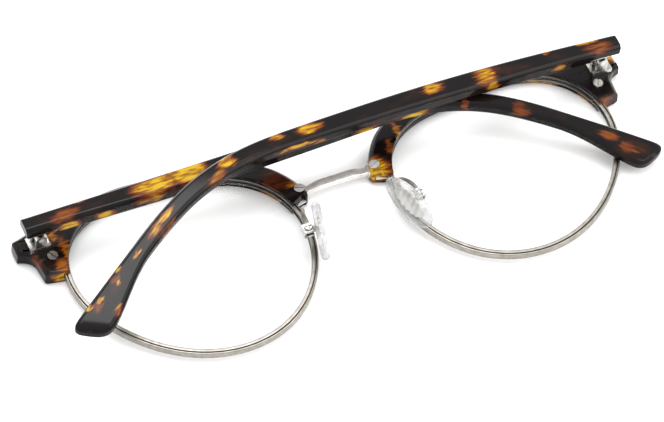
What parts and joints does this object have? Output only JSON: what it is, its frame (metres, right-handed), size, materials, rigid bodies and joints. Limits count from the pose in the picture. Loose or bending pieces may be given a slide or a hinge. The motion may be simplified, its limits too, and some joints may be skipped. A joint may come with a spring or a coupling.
{
  "type": "browline eyeglasses",
  "caption": "Folded browline eyeglasses: acetate brows over metal eyewires, round clear lenses, metal bridge, rocking nose pads and folding temples.",
  "frame": {"origin": "middle of the overall outline at the table, on which the fronts of the brows lie", "axes": "+X to the wearer's right, along the front; +Y to the brow; +Z to the wearer, up from the table"},
  "size_m": [0.1396, 0.0474, 0.0187],
  "materials": {
    "acetate": "polished tortoise pattern",
    "metal": "polished nickel silver",
    "lens": "clear",
    "silicone": "clear, soft"
  },
  "bodies": {
    "front": {"bridge": "metal", "brow_left": "acetate", "brow_right": "acetate", "rim_left": "metal", "rim_right": "metal", "lens_left": "lens", "lens_right": "lens", "lock_left": "metal", "lock_right": "metal", "lug_left": "metal", "lug_right": "metal", "lock_screw_left": "metal", "lock_screw_right": "metal", "nose_screw_left": "metal", "nose_screw_right": "metal", "end_screw_left": "metal", "end_screw_right": "metal", "arm_left": "metal", "arm_right": "metal", "box_left": "metal", "box_right": "metal", "pad_screw_left": "metal", "pad_screw_right": "metal", "hinge_plate_left": "metal", "hinge_plate_right": "metal", "hinge_screw_left": "metal", "hinge_screw_right": "metal"},
    "temple_left": {"hinge_leaf_left": "metal", "temple_left": "acetate", "core_left": "metal"},
    "temple_right": {"hinge_leaf_right": "metal", "temple_right": "acetate", "core_right": "metal"},
    "pad_left": {"insert_left": "metal", "pad_left": "silicone"},
    "pad_right": {"insert_right": "metal", "pad_right": "silicone"}
  },
  "joints": [
    {"name": "temple_left_fold", "type": "hinge", "parent": "front", "child": "temple_left", "pos_m": [-0.0647, 0.0151, 0.00735], "axis": [0, -1, 0], "range_deg": [0, 90.3]},
    {"name": "temple_right_fold", "type": "hinge", "parent": "front", "child": "temple_right", "pos_m": [0.0647, 0.0151, 0.00735], "axis": [0, 1, 0], "range_deg": [0, 85.82]},
    {"name": "pad_left_rock", "type": "hinge", "parent": "front", "child": "pad_left", "pos_m": [-0.0127, -0.004, 0.0075], "axis": [0, 0, 1], "range_deg": [-8, 8]},
    {"name": "pad_right_rock", "type": "hinge", "parent": "front", "child": "pad_right", "pos_m": [0.0127, -0.004, 0.0075], "axis": [0, 0, 1], "range_deg": [-8, 8]}
  ]
}
